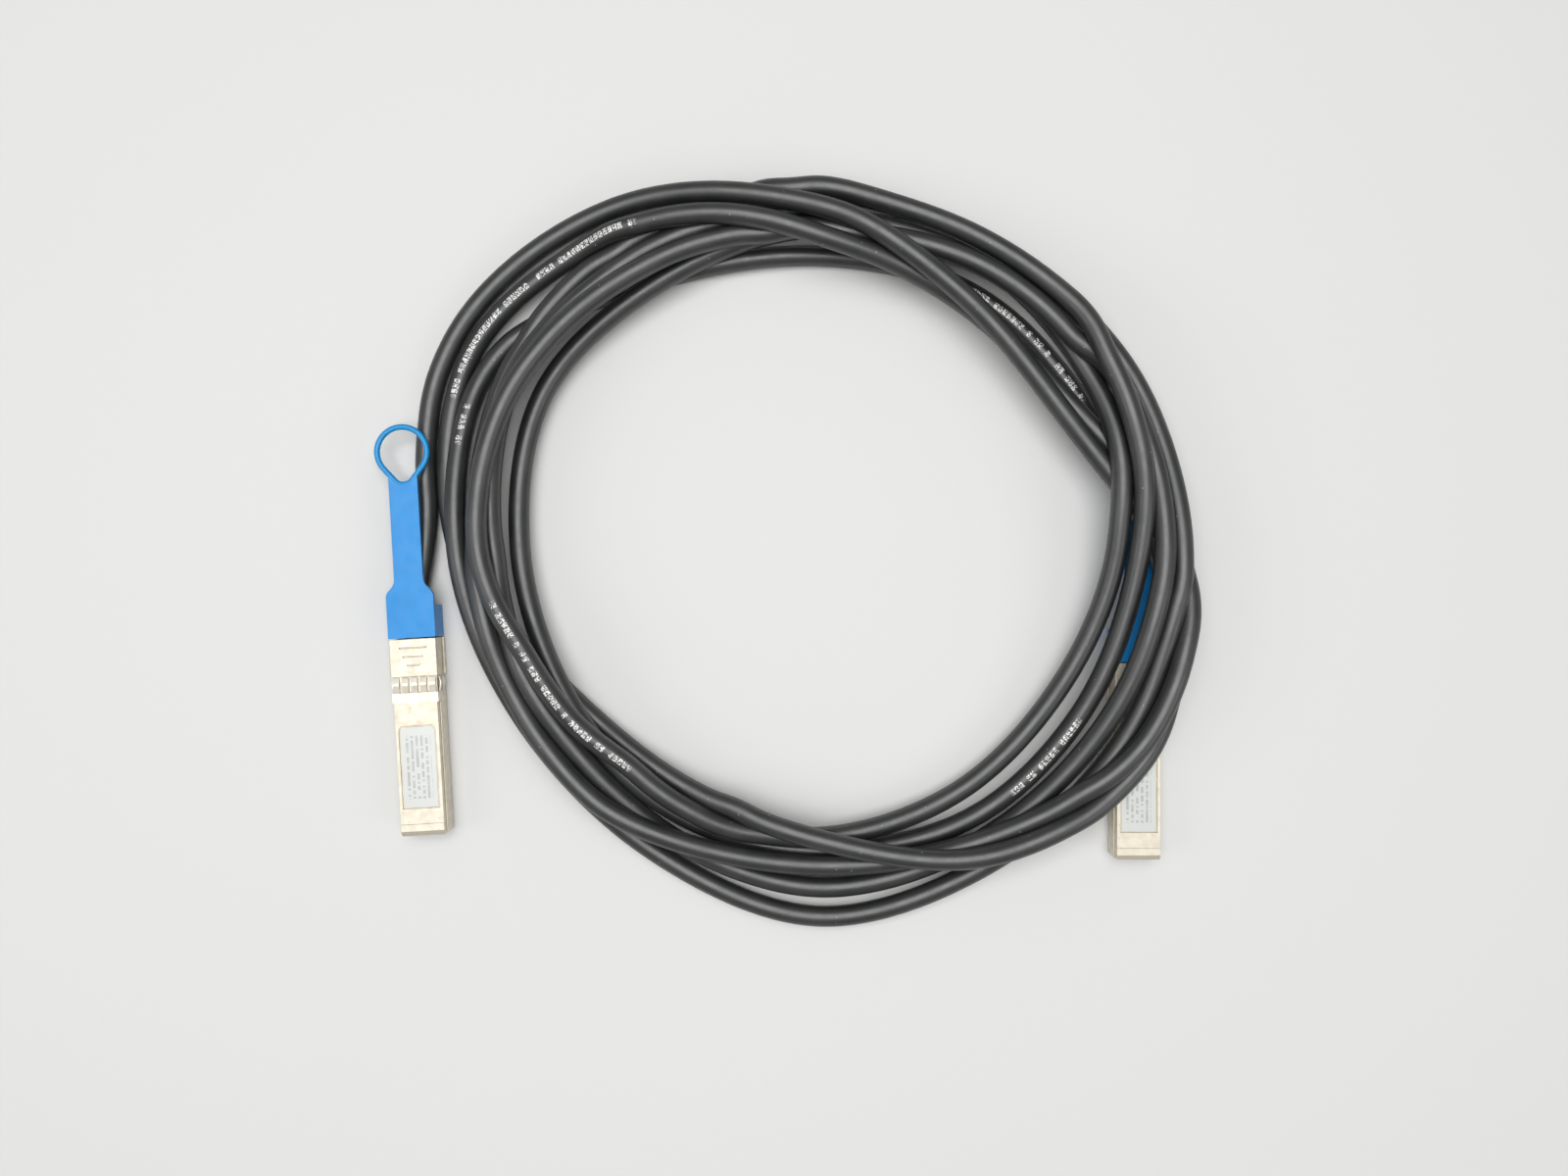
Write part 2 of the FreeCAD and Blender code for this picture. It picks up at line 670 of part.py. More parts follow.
def edge_curve(radii):
    """A smooth closed curve through one radius at each even angle round the coil's centre."""
    points = []
    for number, radius in enumerate(radii):
        angle = 2 * math.pi * number / len(radii)
        points.append(Vector(coil_centre[0] + radius * math.cos(angle),
                             coil_centre[1] + radius * math.sin(angle), 0))
    curve = Part.BSplineCurve()
    curve.interpolate(points, PeriodicFlag=True)
    return Part.Wire(curve.toShape())


def cable_coil(under):
    """Outer shape of the wound cable: a loose ring, higher where it lies on the connector."""
    full = Vector(0, 0, coil_height_right + 5)
    ring = Part.Face(edge_curve(coil_outer)).extrude(full)
    ring = ring.cut(Part.Face(edge_curve(coil_inner)).extrude(full))
    reach = 1.2 * max(coil_outer)
    slope = prism([(-reach, -2 * reach, coil_height_left), (reach, -2 * reach, coil_height_right),
                   (reach, -2 * reach, coil_height_right + 20),
                   (-reach, -2 * reach, coil_height_right + 20)], (0, 4 * reach, 0))
    slope.translate(Vector(coil_centre[0], coil_centre[1], 0))
    ring = ring.cut(slope)
    rims = [e for e in ring.Edges if e.Length > 3 * min(coil_inner)]
    return ring.makeFillet(coil_edge_round, rims).cut(under)


# ---------------------------------------------------------------- placing and writing
def placed(shape, at, turn):
    """A connector's piece moved from its own frame to where the connector lies."""
    copy = shape.copy()
    move = Placement(Vector(at[0], at[1], 0), Rotation(Vector(0, 0, 1), turn))
    copy.Placement = move.multiply(copy.Placement)
    return copy


def coil_cutouts():
    """The spaces that the coil leaves for the connector, the tab and the leads beside it."""
    half = ring_outer_radius + coil_clearance
    far = shell_length + ring_reach + release_travel + coil_clearance
    room = box(-half - lead_room, half, -nose_length - coil_outer[0], far, -1,
               top + finger_bulge + coil_clearance)
    beside = box(left_at[0] - coil_outer[0], left_notch_x, left_at[1], left_notch_y,
                 -1, 2 * coil_height_right)
    return [placed(room, right_at, right_turn), beside]


def main():
    """Build every piece and write one STEP file for each node."""
    os.makedirs("parts", exist_ok=True)
    makers = (
        ("housing_base", lambda: [housing_base()]),
        ("housing_cover", lambda: [housing_cover()]),
        ("shielding_collar", lambda: [shielding_collar()]),
        ("latch_slider", lambda: [latch_slider()]),
        ("return_spring", lambda: [return_spring()]),
        ("pull_tab", lambda: [pull_tab()]),
        ("label", lambda: [label()]),
        ("contact_card", lambda: [contact_card()]),
        ("contact_pads", contact_pads),
        ("memory_chip", lambda: [memory_chip()]),
        ("wire_pairs", wire_pairs),
        ("crimp_ferrule", lambda: [crimp_ferrule()]),
    )
    sides = (("left", left_at, left_turn), ("right", right_at, right_turn))
    for name, make in makers:
        solids = make()
        for side, at, turn in sides:
            export(side + "_" + name, [placed(s, at, turn) for s in solids])
    export("cover_screws", [placed(cover_screw(), at, turn) for side, at, turn in sides])

    coil = cable_coil(coil_cutouts())
    export("cable_coil", [coil])
    export("left_cable_lead", [lead(left_lead, coil)])
    export("right_cable_lead", [lead(right_lead, coil)])


main()
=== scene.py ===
"""Direct attach copper cable, dressed for rendering.

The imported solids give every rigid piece.  This script adds the finishes, the one long round
cable that joins the two connectors in a loose coil, a plain floor and the studio light.
Everything is in metres, +Z up, on z = 0.
"""
import logging
import math
from dataclasses import dataclass, field
from enum import Enum

import bpy
import numpy as np
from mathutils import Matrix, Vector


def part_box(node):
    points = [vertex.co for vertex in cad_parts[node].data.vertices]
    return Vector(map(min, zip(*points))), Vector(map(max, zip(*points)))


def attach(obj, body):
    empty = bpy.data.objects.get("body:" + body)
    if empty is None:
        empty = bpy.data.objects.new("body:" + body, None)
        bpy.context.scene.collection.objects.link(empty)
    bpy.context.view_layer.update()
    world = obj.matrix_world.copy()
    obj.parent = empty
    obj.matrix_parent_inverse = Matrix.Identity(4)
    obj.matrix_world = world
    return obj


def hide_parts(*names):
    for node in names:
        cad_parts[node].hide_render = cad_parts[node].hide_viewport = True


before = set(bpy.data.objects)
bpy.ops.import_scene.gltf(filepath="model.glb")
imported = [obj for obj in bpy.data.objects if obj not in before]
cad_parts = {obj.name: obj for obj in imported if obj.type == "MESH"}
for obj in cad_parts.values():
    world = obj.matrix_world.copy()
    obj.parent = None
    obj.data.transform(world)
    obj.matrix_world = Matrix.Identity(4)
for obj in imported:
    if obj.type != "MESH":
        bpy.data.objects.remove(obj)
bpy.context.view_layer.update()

LOG = logging.getLogger("attach_cable")
MM = 0.001

Colour = tuple[float, float, float, float]


# ------------------------------------------------------------------------------ camera
@dataclass(frozen=True)
class Viewpoint:
    """The camera, straight above the table.

    Attributes:
        place: where the lens is, in metres.
        lens: focal length in millimetres on a 36 mm sensor.
    """

    place: tuple[float, float, float] = (0.00415, 0.01582, 0.359)
    lens: float = 27.0

    def build(self) -> None:
        """Adds the camera, looking straight down with +Y up the frame."""
        data = bpy.data.cameras.new("camera")
        data.lens = self.lens
        data.sensor_width = 36.0
        data.clip_start = 0.01
        data.clip_end = 10.0
        eye = bpy.data.objects.new("camera", data)
        eye.location = self.place
        bpy.context.scene.collection.objects.link(eye)
        bpy.context.scene.camera = eye


# ------------------------------------------------------------------------------ the cable
@dataclass
class CableLay:
    """How the cable lies: both leads, and the turns of the coil between them.

    The leads are points that the cable's centre follows.  A turn is given by how far it
    lies from the coil's centre at each hour of a clock that starts at +X and runs towards
    +Y, and by which of the strands that cross there it lies over: a strand with the higher
    number is on top.
    """

    diameter: float = 6.2 * MM
    clearance: float = 0.05 * MM
    centre: tuple[float, float] = (15.0 * MM, 26.5 * MM)
    hours: int = 12
    first_hour: int = 2
    last_hour: int = 77
    sample: float = 2.6 * MM
    settling_sweeps: int = 420
    easing_sweeps: int = 80
    # How many hours before the coil's first hour the right lead ends, and each point before it
    lead_gap: float = 1.2
    lead_step: float = 0.2
    # Samples further apart than this along the cable belong to different strands
    strand_run: float = 80.0 * MM
    # How far the cable sinks in a sweep, at first and then after a share of the sweeps
    sink_steps: tuple[float, float] = (0.25 * MM, 0.12 * MM)
    slow_after: float = 0.6
    # How often the strands that meet are sought again, and how often a sweep passes lifts on
    regroup_every: int = 20
    lift_passes: int = 3
    # Shares of an overlap that one sweep clears: sideways in each stage, by a lift, by a drop
    settling_push: float = 0.15
    easing_push: float = 0.3
    rise_share: float = 0.5
    fall_share: float = 0.3
    # Passes of bending: light for moves and settling, firm for the eased heights
    light_bend: int = 2
    firm_bend: int = 10
    # The tops of the right-hand connector that strands rest on.  Each is x from, x to, y from,
    # y to and its height, in millimetres, with the connector's shoulder at the origin
    shoulder: tuple[float, float] = (109.75 * MM, -17.68 * MM)
    supports: tuple[tuple[float, ...], ...] = (
        (-6.9, 6.9, -47.5, -4.0, 9.1), (-6.9, 6.9, -4.0, -1.0, 9.6), (-7.1, 7.1, 0.0, 27.5, 9.1),
        (-4.8, 4.8, 27.0, 57.0, 9.1), (-6.5, 6.5, 57.0, 75.0, 9.1), (-8.3, 8.3, 63.0, 71.0, 9.1),
    )
    right_lead: tuple[tuple[float, float, float], ...] = (
        (0.10975, -0.01258, 0.0045), (0.10975, -0.00118, 0.0045), (0.11005, 0.01022, 0.0039),
        (0.11055, 0.02172, 0.0033), (0.11035, 0.03322, 0.0031), (0.10755, 0.04472, 0.00315),
        (0.10295, 0.05572, 0.0031), (0.09785, 0.06572, 0.0032),
    )
    left_lead: tuple[tuple[float, float, float], ...] = (
        (-0.10624, -0.00539, 0.0045), (-0.10690, 0.00599, 0.0045), (-0.10567, 0.01768, 0.0039),
        (-0.10404, 0.02929, 0.0033), (-0.10350, 0.04082, 0.0031), (-0.10436, 0.05232, 0.00315),
        (-0.10363, 0.06392, 0.0031), (-0.10199, 0.07552, 0.0032),
    )
    # How far each turn lies from the centre, in millimetres, at every hour
    radii: tuple[tuple[int, ...], ...] = (
        (96, 92, 91, 90, 96, 114, 108, 102, 103, 110, 106, 105),
        (103, 106, 105, 101, 103, 104, 97, 93, 96, 101, 99, 98),
        (101, 100, 97, 96, 98, 102, 99, 91, 86, 85, 83, 82),
        (87, 95, 99, 98, 94, 96, 90, 87, 89, 90, 92, 91),
        (92, 98, 103, 104, 108, 107, 102, 99, 95, 93, 98, 109),
        (105, 86, 85, 93, 110, 121, 109, 87, 81, 85, 102, 113),
        (99, 82, 85, 100, 119, 128),
    )
    # Which strand lies over which, at every half hour of the same clock
    layers: tuple[tuple[float, ...], ...] = (
        (0, 1, 1, 1, 1, 1, 1, 1, 1, 1, 2, 2, 2, 1, 1, 1, 1, 1, 1, 1, 1, 2, 3, 5),
        (4, 3, 1, 1, 1, 1, 1, 3, 3, 3, 3, 3, 3, 3, 3, 2, 1, 1, 1, 1, 1, 3, 5, 6),
        (5, 4, 3, 3, 3, 3, 2, 3, 4, 4, 4, 4, 4, 4, 4, 3, 3, 3, 3, 2, 2, 2, 3, 4),
        (6, 5, 2, 1, 1, 1, 1, 2, 2, 2, 2, 2, 2, 2, 2, 1, 1, 1, 1, 1, 1, 2, 4, 5),
        (6, 6, 4, 3, 3, 3, 3, 2, 2, 2, 2, 2, 2.5, 3, 3, 4, 3, 2, 2, 3, 3, 5, 7, 6),
        (1, 2, 2, 2, 2, 3, 5, 5, 3, 0, 0, 0, 0, 0, 0, 0, 0, 4, 6, 6, 6, 5, 5, 4),
        (3, 3, 4, 4, 4, 5, 5, 5, 1, 1, 1, 1, 1),
    )

    def stations(self) -> tuple[np.ndarray, np.ndarray, np.ndarray]:
        """Strings the leads and the turns together, from the right connector to the left.

        Returns:
            The route's points in plan, their fixed heights on the leads (nan in the coil), and
            how many hours each point is into the coil.
        """
        radius = np.concatenate([np.asarray(row, float) for row in self.radii]) * MM
        hour = np.arange(self.first_hour, self.last_hour + 1)
        angle = 2 * np.pi / self.hours * hour
        turns = np.column_stack([self.centre[0] + radius[hour] * np.cos(angle),
                                 self.centre[1] + radius[hour] * np.sin(angle)])
        right, left = np.asarray(self.right_lead), np.asarray(self.left_lead)[::-1]
        plan = np.concatenate([right[:, :2], turns, left[:, :2]])
        height = np.concatenate([right[:, 2], np.full(len(hour), np.nan), left[:, 2]])
        start = hour[0] - self.lead_gap - self.lead_step * np.arange(len(right))[::-1]
        hours = np.concatenate([np.maximum(start, 0.0), hour, np.full(len(left), hour[-1])])
        return plan, height, hours

    @staticmethod
    def through(points: np.ndarray, spacing: float) -> tuple[np.ndarray, np.ndarray]:
        """Even samples of a smooth curve through points.

        Between two points at a distance h, with directions m0 and m1 there, the curve is
        (1 + 2t)(1 - t)^2 p0 + t^2 (3 - 2t) p1 + h t (1 - t)^2 m0 + h t^2 (t - 1) m1.
        The direction at a point leans towards the nearer of its two neighbours.

        Args:
            points: the points, one row each.
            spacing: the wanted distance between samples.
        Returns:
            The samples, and where each one lies along the list of points.
        """
        chord = np.diff(points, axis=0)
        reach = np.linalg.norm(chord, axis=1)[:, None]
        slope = chord / reach
        inner = (reach[1:] * slope[:-1] + reach[:-1] * slope[1:]) / (reach[1:] + reach[:-1])
        lean = np.concatenate([slope[:1], inner, slope[-1:]])
        where = np.linspace(0.0, len(points) - 1.0, len(points) * 48)
        seat = np.minimum(where.astype(int), len(points) - 2)
        t = (where - seat)[:, None]
        h = reach[seat]
        curve = ((1 + 2 * t) * (1 - t) ** 2 * points[seat] + t**2 * (3 - 2 * t) * points[seat + 1]
                 + h * t * (1 - t) ** 2 * lean[seat] + h * t**2 * (t - 1) * lean[seat + 1])
        run = np.concatenate([[0.0], np.cumsum(np.linalg.norm(np.diff(curve, axis=0), axis=1))])
        even = np.linspace(0.0, run[-1], int(run[-1] / spacing) + 1)
        samples = np.column_stack([np.interp(even, run, curve[:, k]) for k in range(2)])
        return samples, np.interp(even, run, where)

    def rest_height(self, plan: np.ndarray) -> np.ndarray:
        """Lowest height of the cable's centre over the floor and the right-hand connector.

        Over a flat top it is the top plus the cable's radius; past the top's edge the
        round cable sinks along a quarter circle of its own radius.
        """
        radius = self.diameter / 2 + 2 * self.clearance
        x, y = plan[:, 0] - self.shoulder[0], plan[:, 1] - self.shoulder[1]
        height = np.full(len(plan), self.diameter / 2)
        for x0, x1, y0, y1, top in self.supports:
            away = np.hypot(np.clip(np.maximum(x0 * MM - x, x - x1 * MM), 0, None),
                            np.clip(np.maximum(y0 * MM - y, y - y1 * MM), 0, None))
            over = top * MM + np.sqrt(np.clip(radius**2 - away**2, 0, None))
            height = np.where(away < radius, np.maximum(height, over), height)
        return height

    def meetings(self, line: np.ndarray, reach: float) -> tuple[np.ndarray, np.ndarray]:
        """Pairs of samples of different strands that lie within reach of each other in plan."""
        number = np.arange(len(line))
        gap = np.linalg.norm(line[:, None, :] - line[None, :, :], axis=2)
        other_strand = number[None, :] - number[:, None] > int(self.strand_run / self.sample)
        return np.where((gap < reach) & other_strand)

    def stacked(self, distance: np.ndarray) -> np.ndarray:
        """How much higher the upper of two strands lies: sqrt(diameter^2 - distance^2)."""
        return np.sqrt(np.clip((self.diameter + self.clearance) ** 2 - distance**2, 0, None))

    def settle(self, line: np.ndarray, layer: np.ndarray, held: np.ndarray,
               height: np.ndarray) -> tuple[np.ndarray, np.ndarray]:
        """Lets every strand sink onto what is under it.

        Each sweep bends the line towards its neighbours' mean height, lets it sink, and then
        lifts each strand onto the strands below it.  Strands of one layer are nudged apart
        sideways instead.

        Args:
            line: the cable's samples in plan.
            layer: which strand lies over which, at each sample.
            held: which samples keep their height, because they are on a lead.
            height: the samples' heights at first.
        Returns:
            The samples in plan, and their heights.
        """
        lead = height.copy()
        for sweep in range(self.settling_sweeps):
            if sweep % self.regroup_every == 0:
                one, two = self.meetings(line, self.diameter + MM)
                upper = np.where(layer[one] > layer[two], one, two)
                lower = np.where(layer[one] > layer[two], two, one)
                crossing = np.abs(layer[one] - layer[two]) >= 0.5
                order = np.flatnonzero(crossing)
                order = order[np.argsort(layer[upper[order]], kind="stable")]
            height = bent(height, self.light_bend)
            slow = sweep >= self.slow_after * self.settling_sweeps
            height = np.maximum(height - self.sink_steps[int(slow)], self.diameter / 2)
            moved = self.nudge(line, height, upper[~crossing], lower[~crossing],
                               self.settling_push)
            line = np.where(held[:, None], line, line + moved)
            lift = self.stacked(np.linalg.norm(line[upper[order]] - line[lower[order]], axis=1))
            for _ in range(self.lift_passes):
                resting = np.where(lift > 0, height[lower[order]] + lift, 0.0)
                np.maximum.at(height, upper[order], resting)
            height = np.where(held, lead, np.maximum(height, self.rest_height(line)))
        return line, height

    def nudge(self, line: np.ndarray, height: np.ndarray, upper: np.ndarray, lower: np.ndarray,
              share: float) -> np.ndarray:
        """Sideways moves that part overlapping strands by a share of their overlap."""
        offset = line[upper] - line[lower]
        distance = np.linalg.norm(offset, axis=1)
        apart = np.hypot(distance, height[upper] - height[lower])
        overlap = np.clip(self.diameter - apart, 0, None)
        push = offset / np.maximum(distance, 0.5 * MM)[:, None] * (overlap * share)[:, None]
        move, count = np.zeros_like(line), np.zeros(len(line))
        for side, sign in ((upper, 1.0), (lower, -1.0)):
            np.add.at(move, side, sign * push)
            np.add.at(count, side, overlap > 0)
        return move / np.maximum(count, 1)[:, None]

    def ease(self, line: np.ndarray, held: np.ndarray,
             height: np.ndarray) -> tuple[np.ndarray, np.ndarray]:
        """Takes the sharp humps out, as the cable's stiffness does.

        Each sweep parts what still overlaps, half of it by a lift, some by a drop and some
        sideways, and then bends the heights and the sideways moves towards their neighbours'.
        """
        lead, start = height.copy(), line.copy()
        one, two = self.meetings(line, self.diameter + 0.3 * MM)
        upper = np.where(height[one] > height[two], one, two)
        lower = np.where(height[one] > height[two], two, one)
        for _ in range(self.easing_sweeps):
            lift = self.stacked(np.linalg.norm(line[upper] - line[lower], axis=1))
            short = np.clip(lift - (height[upper] - height[lower]), 0, None)
            rise, fall = np.zeros(len(line)), np.zeros(len(line))
            np.maximum.at(rise, upper, self.rise_share * short)
            np.maximum.at(fall, lower, self.fall_share * short)
            height = height + rise - fall
            moved = line + self.nudge(line, height, upper, lower, self.easing_push) - start
            line = start + np.where(held[:, None], 0.0, bent(moved, self.light_bend))
            height = np.maximum(bent(height, self.firm_bend), self.rest_height(line))
            height = np.where(held, lead, height)
        return line, np.maximum(bent(height, self.firm_bend), self.diameter / 2)

    def centre_line(self) -> tuple[np.ndarray, np.ndarray]:
        """Lays the cable down.

        Returns:
            Its centre line at rest, as points 2.6 mm apart from right to left, and how many
            hours each of them is into the coil.
        """
        plan, fixed, hours = self.stations()
        line, where = self.through(plan, self.sample)
        index = np.arange(len(fixed))
        known = np.isfinite(fixed)
        held = np.interp(where, index, known.astype(float)) > 0.999
        levels = np.concatenate([np.asarray(row, float) for row in self.layers])
        hour = np.interp(where, index, hours)
        layer = np.interp(2 * hour, np.arange(len(levels)), levels)
        layer = np.where(held & (where < len(fixed) / 2), 0.0, layer)
        height = np.where(held, np.interp(where, index[known], fixed[known]), self.diameter / 2)
        line, height = self.settle(line, layer, held, height)
        line, height = self.ease(line, held, height)
        return np.column_stack([line, height]), hour


def bent(values: np.ndarray, passes: int) -> np.ndarray:
    """Bends a line of values towards its neighbours' mean, with both ends kept."""
    for _ in range(passes):
        inner = 0.25 * values[:-2] + 0.5 * values[1:-1] + 0.25 * values[2:]
        values = np.concatenate([values[:1], inner, values[-1:]])
    return values


@dataclass
class JacketedCable:
    """The round cable, from inside one connector to inside the other."""

    lay: CableLay = field(default_factory=CableLay)
    sides: int = 20
    control_every: int = 3
    # Where the jacket carries its white legend, in hours from the start of the coil
    legend: tuple[tuple[float, float], ...] = ((0.9, 1.9), (5.2, 5.4), (30.3, 31.6), (46.3, 46.9),
                                               (64.0, 65.3))

    def spline_points(self, route: np.ndarray) -> np.ndarray:
        """Lays one open spline along the settled route and reads its points back."""
        picks = np.unique(np.concatenate([np.arange(0, len(route), self.control_every),
                                          [len(route) - 1]]))
        knots = route[picks]
        data = bpy.data.curves.new("cable_centre", "CURVE")
        data.dimensions = "3D"
        data.resolution_u = 4
        spline = data.splines.new("NURBS")
        spline.points.add(len(knots) - 1)
        spline.points.foreach_set("co", np.column_stack([knots, np.ones(len(knots))]).ravel())
        spline.order_u = 3
        spline.use_endpoint_u = True
        guide = bpy.data.objects.new("cable_centre", data)
        bpy.context.scene.collection.objects.link(guide)
        bpy.context.view_layer.update()
        mesh = bpy.data.meshes.new_from_object(guide)
        points = np.empty(len(mesh.vertices) * 3)
        mesh.vertices.foreach_get("co", points)
        bpy.data.objects.remove(guide)
        bpy.data.meshes.remove(mesh)
        return points.reshape(-1, 3)

    def skin(self, path: np.ndarray, hours: np.ndarray) -> bpy.types.Object:
        """Carries a circle along the path.

        A ring's points are path + r (cos(a) side + sin(a) up), where side is level and
        square to the path, and up is square to both.

        Args:
            path: the centre line's points.
            hours: how many hours each point is into the coil.
        Returns:
            The jacket, with u in metres along it and v once round it, 0.25 on top.
        """
        radius = self.lay.diameter / 2
        tangent = np.gradient(path, axis=0)
        tangent /= np.linalg.norm(tangent, axis=1)[:, None]
        side = np.cross(tangent, np.array([0.0, 0.0, 1.0]))
        side /= np.linalg.norm(side, axis=1)[:, None]
        up = np.cross(side, tangent)
        angle = np.linspace(0.0, 2 * np.pi, self.sides, endpoint=False)
        ring = (np.cos(angle)[None, :, None] * side[:, None, :]
                + np.sin(angle)[None, :, None] * up[:, None, :])
        rings, sides = len(path), self.sides
        points = (path[:, None, :] + radius * ring).reshape(-1, 3)
        row, column = np.meshgrid(np.arange(rings - 1), np.arange(sides), indexing="ij")
        after = (column + 1) % sides
        quads = np.stack([row * sides + column, row * sides + after,
                          (row + 1) * sides + after, (row + 1) * sides + column], axis=-1)
        quads = quads.reshape(-1, 4)
        caps = [tuple(range(sides))[::-1], tuple(range((rings - 1) * sides, rings * sides))]
        mesh = bpy.data.meshes.new("cable_jacket")
        mesh.from_pydata(points.tolist(), [], quads.tolist() + caps)
        run = np.concatenate([[0.0], np.cumsum(np.linalg.norm(np.diff(path, axis=0), axis=1))])
        u = np.stack([run[row], run[row], run[row + 1], run[row + 1]], axis=-1).reshape(-1)
        v = np.stack([column, column + 1, column + 1, column], axis=-1).reshape(-1) / sides
        cap_uv = np.zeros((2 * sides, 2))
        uv = np.concatenate([np.column_stack([u, v]), cap_uv])
        mesh.uv_layers.new(name="UVMap").data.foreach_set("uv", uv.ravel())
        marked = np.zeros(rings)
        for start, end in self.legend:
            marked[(hours > start) & (hours < end)] = 1.0
        span = mesh.attributes.new("legend", "FLOAT", "POINT")
        span.data.foreach_set("value", np.repeat(marked, sides))
        mesh.polygons.foreach_set("use_smooth", np.ones(len(mesh.polygons), bool))
        mesh.update()
        mesh.validate()
        jacket = bpy.data.objects.new("cable_jacket", mesh)
        bpy.context.scene.collection.objects.link(jacket)
        return jacket

    def build(self) -> bpy.types.Object:
        route, hours = self.lay.centre_line()
        path = self.spline_points(route)
        share = np.linspace(0.0, 1.0, len(path))
        jacket = self.skin(path, np.interp(share, np.linspace(0.0, 1.0, len(hours)), hours))
        jacket.data.materials.append(JacketPvc().material())
        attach(jacket, "cable_and_housings")
        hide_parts("cable_coil", "left_cable_lead", "right_cable_lead")
        return jacket


# ------------------------------------------------------------------------------ finishes
class NodeTree:
    """Short ways to add and join the nodes of one material."""

    def __init__(self, name: str) -> None:
        """Starts a material with a shader and its output."""
        self.material = bpy.data.materials.new(name)
        self.material.use_nodes = True
        self.tree = self.material.node_tree
        self.tree.nodes.clear()
        self.shader = self.add("ShaderNodeBsdfPrincipled")
        output = self.add("ShaderNodeOutputMaterial")
        self.join(self.shader.outputs["BSDF"], output.inputs["Surface"])

    def add(self, kind: str, **values: object) -> bpy.types.Node:
        """Adds a node and sets its own properties."""
        node = self.tree.nodes.new(kind)
        for key, value in values.items():
            setattr(node, key, value)
        return node

    def join(self, out: bpy.types.NodeSocket, into: bpy.types.NodeSocket) -> None:
        """Links one socket to another."""
        self.tree.links.new(out, into)

    def place(self, source: "Placing", turn: float = 0.0,
              at: tuple[float, float, float] = (0.0, 0.0, 0.0)) -> bpy.types.NodeSocket:
        """Coordinates on the piece, moved so that a point is the origin and turned about Z."""
        texture = self.add("ShaderNodeTexCoord")
        if source is Placing.WRAPPED:
            return texture.outputs["UV"]
        mapping = self.add("ShaderNodeMapping", vector_type="TEXTURE")
        mapping.inputs["Location"].default_value = at
        mapping.inputs["Rotation"].default_value = (0.0, 0.0, turn)
        self.join(texture.outputs["Object"], mapping.inputs["Vector"])
        return mapping.outputs["Vector"]

    def math(self, operation: str, first: object, second: object = 0.0, third: object = 0.0,
             clamp: bool = False) -> bpy.types.NodeSocket:
        """One step of arithmetic on sockets or plain numbers."""
        node = self.add("ShaderNodeMath", operation=operation, use_clamp=clamp)
        for socket, value in zip(node.inputs, (first, second, third)):
            if isinstance(value, bpy.types.NodeSocket):
                self.join(value, socket)
            else:
                socket.default_value = value
        return node.outputs[0]

    def noise(self, where: bpy.types.NodeSocket, scale: float, detail: float = 3.0,
              roughness: float = 0.6) -> bpy.types.NodeSocket:
        """A soft random value on the surface."""
        node = self.add("ShaderNodeTexNoise")
        node.inputs["Scale"].default_value = scale
        node.inputs["Detail"].default_value = detail
        node.inputs["Roughness"].default_value = roughness
        self.join(where, node.inputs["Vector"])
        return node.outputs["Fac"]

    def between(self, value: bpy.types.NodeSocket, low: float, high: float,
                out_low: float = 0.0, out_high: float = 1.0) -> bpy.types.NodeSocket:
        """Spreads a value's stretch from low to high over another stretch."""
        node = self.add("ShaderNodeMapRange")
        self.join(value, node.inputs["Value"])
        for key, number in (("From Min", low), ("From Max", high),
                            ("To Min", out_low), ("To Max", out_high)):
            node.inputs[key].default_value = number
        return node.outputs["Result"]

    def blend(self, factor: bpy.types.NodeSocket, first: object,
              second: object) -> bpy.types.NodeSocket:
        """Mixes two colours."""
        node = self.add("ShaderNodeMix", data_type="RGBA")
        self.join(factor, node.inputs["Factor"])
        for socket, value in ((node.inputs[6], first), (node.inputs[7], second)):
            if isinstance(value, bpy.types.NodeSocket):
                self.join(value, socket)
            else:
                socket.default_value = value
        return node.outputs[2]

    def paint_crease_shade(self, colour: bpy.types.NodeSocket, dark: Colour,
              reach: float) -> bpy.types.NodeSocket:
        """Painted shade: darkens a colour in creases and joints narrower than about twice the reach.
        """
        crease = self.add("ShaderNodeAmbientOcclusion", samples=6)
        crease.inputs["Distance"].default_value = reach
        shade = self.between(crease.outputs["AO"], 0.35, 0.8, 1.0, 0.0)
        return self.blend(shade, colour, dark)

    def relief(self, height: bpy.types.NodeSocket, depth: float, edge: float = 0.0) -> None:
        """Bumps the surface by a height, over edges softened to a radius."""
        bump = self.add("ShaderNodeBump")
        bump.inputs["Strength"].default_value = 1.0
        bump.inputs["Distance"].default_value = depth
        self.join(height, bump.inputs["Height"])
        if edge > 0.0:
            soft = self.add("ShaderNodeBevel", samples=4)
            soft.inputs["Radius"].default_value = edge
            self.join(soft.outputs["Normal"], bump.inputs["Normal"])
        self.join(bump.outputs["Normal"], self.shader.inputs["Normal"])


class Placing(Enum):
    """Where a pattern takes its coordinates from."""

    SOLID = "solid"
    WRAPPED = "wrapped"


